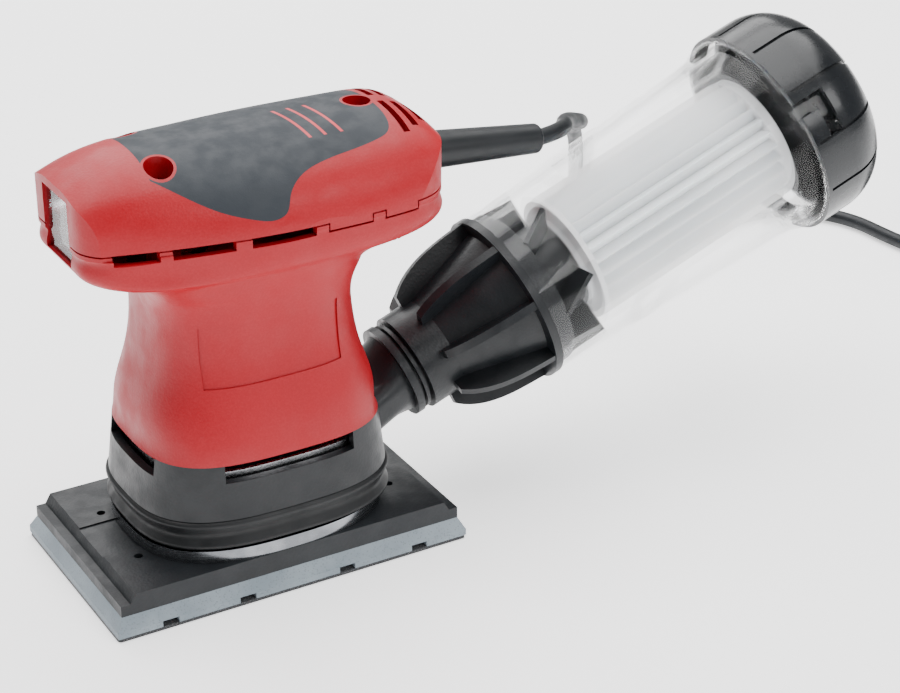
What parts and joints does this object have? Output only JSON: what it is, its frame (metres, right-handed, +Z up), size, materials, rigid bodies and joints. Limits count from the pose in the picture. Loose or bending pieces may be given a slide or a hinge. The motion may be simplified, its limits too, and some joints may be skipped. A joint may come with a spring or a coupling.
{
  "type": "detail sander",
  "caption": "Compact palm-grip orbital sander with a rectangular foam pad, soft-grip head, mains lead and a clear push-on dust container with a pleated filter.",
  "frame": {"origin": "centre of the pad's sanding face, the flat underside that rests on the work", "axes": "+X from the switch end to the lead and dust-container end, +Z up, away from the work"},
  "size_m": [0.5245, 0.1763, 0.157],
  "materials": {
    "hook_edge": "fibrous",
    "pad_foam": "closed-cell foam",
    "pad_plastic": "fine texture",
    "band_steel": "polished",
    "carrier_alloy": "cast",
    "screw_steel": "zinc plated",
    "bearing_steel": "ground",
    "shaft_steel": "ground",
    "weight_steel": "sintered",
    "fan_plastic": "moulded",
    "lamination": "laminated",
    "copper_winding": "varnished",
    "commutator_copper": "turned",
    "brush_carbon": "carbon",
    "brush_brass": "pressed",
    "dark_plastic": "fine texture",
    "boot_rubber": "matt",
    "post_rubber": "matt",
    "shroud_alloy": "pressed",
    "housing_red": "fine texture",
    "grip_rubber": "soft grip",
    "switch_clear": "clear flexible",
    "switch_plastic": "moulded",
    "rocker_plastic": "moulded",
    "dial_plastic": "ribbed",
    "board_resin": "circuit board",
    "seal_rubber": "matt",
    "container_clear": "clear",
    "filter_paper": "pleated paper",
    "filter_plastic": "moulded",
    "cap_plastic": "semi-gloss",
    "cord_rubber": "matt",
    "tie_plastic": "moulded",
    "pin_brass": "nickel plated"
  },
  "bodies": {
    "body": {"motor_housing": "housing_red", "base_ring": "dark_plastic", "base_screws": "screw_steel", "elastic_posts": "post_rubber", "rubber_boot": "boot_rubber", "motor_shroud": "shroud_alloy", "head_cover": "housing_red", "grip_overlay": "grip_rubber", "head_screws": "screw_steel", "switch_cover": "switch_clear", "switch_body": "switch_plastic", "control_board": "board_resin", "stator_core": "lamination", "field_coils": "copper_winding", "carbon_brushes": "brush_carbon", "brush_holders": "brush_brass", "lower_bearing": "bearing_steel", "upper_bearing": "bearing_steel", "strain_relief": "cord_rubber", "dust_port": "dark_plastic", "port_seal_rings": "seal_rubber", "mains_cord": "cord_rubber", "cord_coil": "cord_rubber", "cord_tie": "tie_plastic", "plug_body": "cord_rubber", "plug_pins": "pin_brass"},
    "rotor": {"rotor_shaft": "shaft_steel", "eccentric": "shaft_steel", "counterweight": "weight_steel", "fan": "fan_plastic", "armature_core": "lamination", "armature_windings": "copper_winding", "commutator": "commutator_copper", "lower_bearing_inner_race": "bearing_steel", "upper_bearing_inner_race": "bearing_steel", "pad_bearing_inner_race": "bearing_steel", "pad_bearing_balls": "bearing_steel", "pad_bolt": "screw_steel"},
    "pad": {"hook_layer": "hook_edge", "sole_foam": "pad_foam", "pad_plate": "pad_plastic", "pad_band": "band_steel", "bearing_carrier": "carrier_alloy", "pad_screws": "screw_steel", "pad_bearing_outer_race": "bearing_steel"},
    "rocker": {"switch_rocker": "rocker_plastic"},
    "dial": {"speed_dial": "dial_plastic"},
    "container": {"container_funnel": "dark_plastic", "funnel_seal": "seal_rubber", "air_guide": "dark_plastic", "clear_tube": "container_clear", "filter_pleats": "filter_paper", "filter_core": "filter_plastic", "filter_end_rings": "filter_plastic"},
    "cap": {"end_cap": "cap_plastic"}
  },
  "joints": [
    {"name": "rotor_spin", "type": "hinge", "parent": "body", "child": "rotor", "pos_m": [0.001, 0, 0], "axis": [0, 0, 1], "continuous": true},
    {"name": "pad_orbit", "type": "hinge", "parent": "rotor", "child": "pad", "pos_m": [0, 0, 0], "axis": [0, 0, 1], "continuous": true},
    {"name": "switch_rocker_tilt", "type": "hinge", "parent": "body", "child": "rocker", "pos_m": [-0.048, 0, 0.1349], "axis": [0, 1, 0], "range_deg": [-14, 0]},
    {"name": "speed_dial_turn", "type": "hinge", "parent": "body", "child": "dial", "pos_m": [0.0446, -0.0275, 0.126], "axis": [0, 1, 0], "range_deg": [0, 300]},
    {"name": "container_slide", "type": "slide", "parent": "body", "child": "container", "axis": [0.9354, 0, 0.3535], "range_m": [0, 0.025]},
    {"name": "cap_twist", "type": "hinge", "parent": "container", "child": "cap", "pos_m": [0.0602, 0, 0.0506], "axis": [0.9354, 0, 0.3535], "range_deg": [0, 16.5]}
  ],
  "couplings": [
    {"joint": "pad_orbit", "follows": "rotor_spin", "ratio": -1}
  ]
}
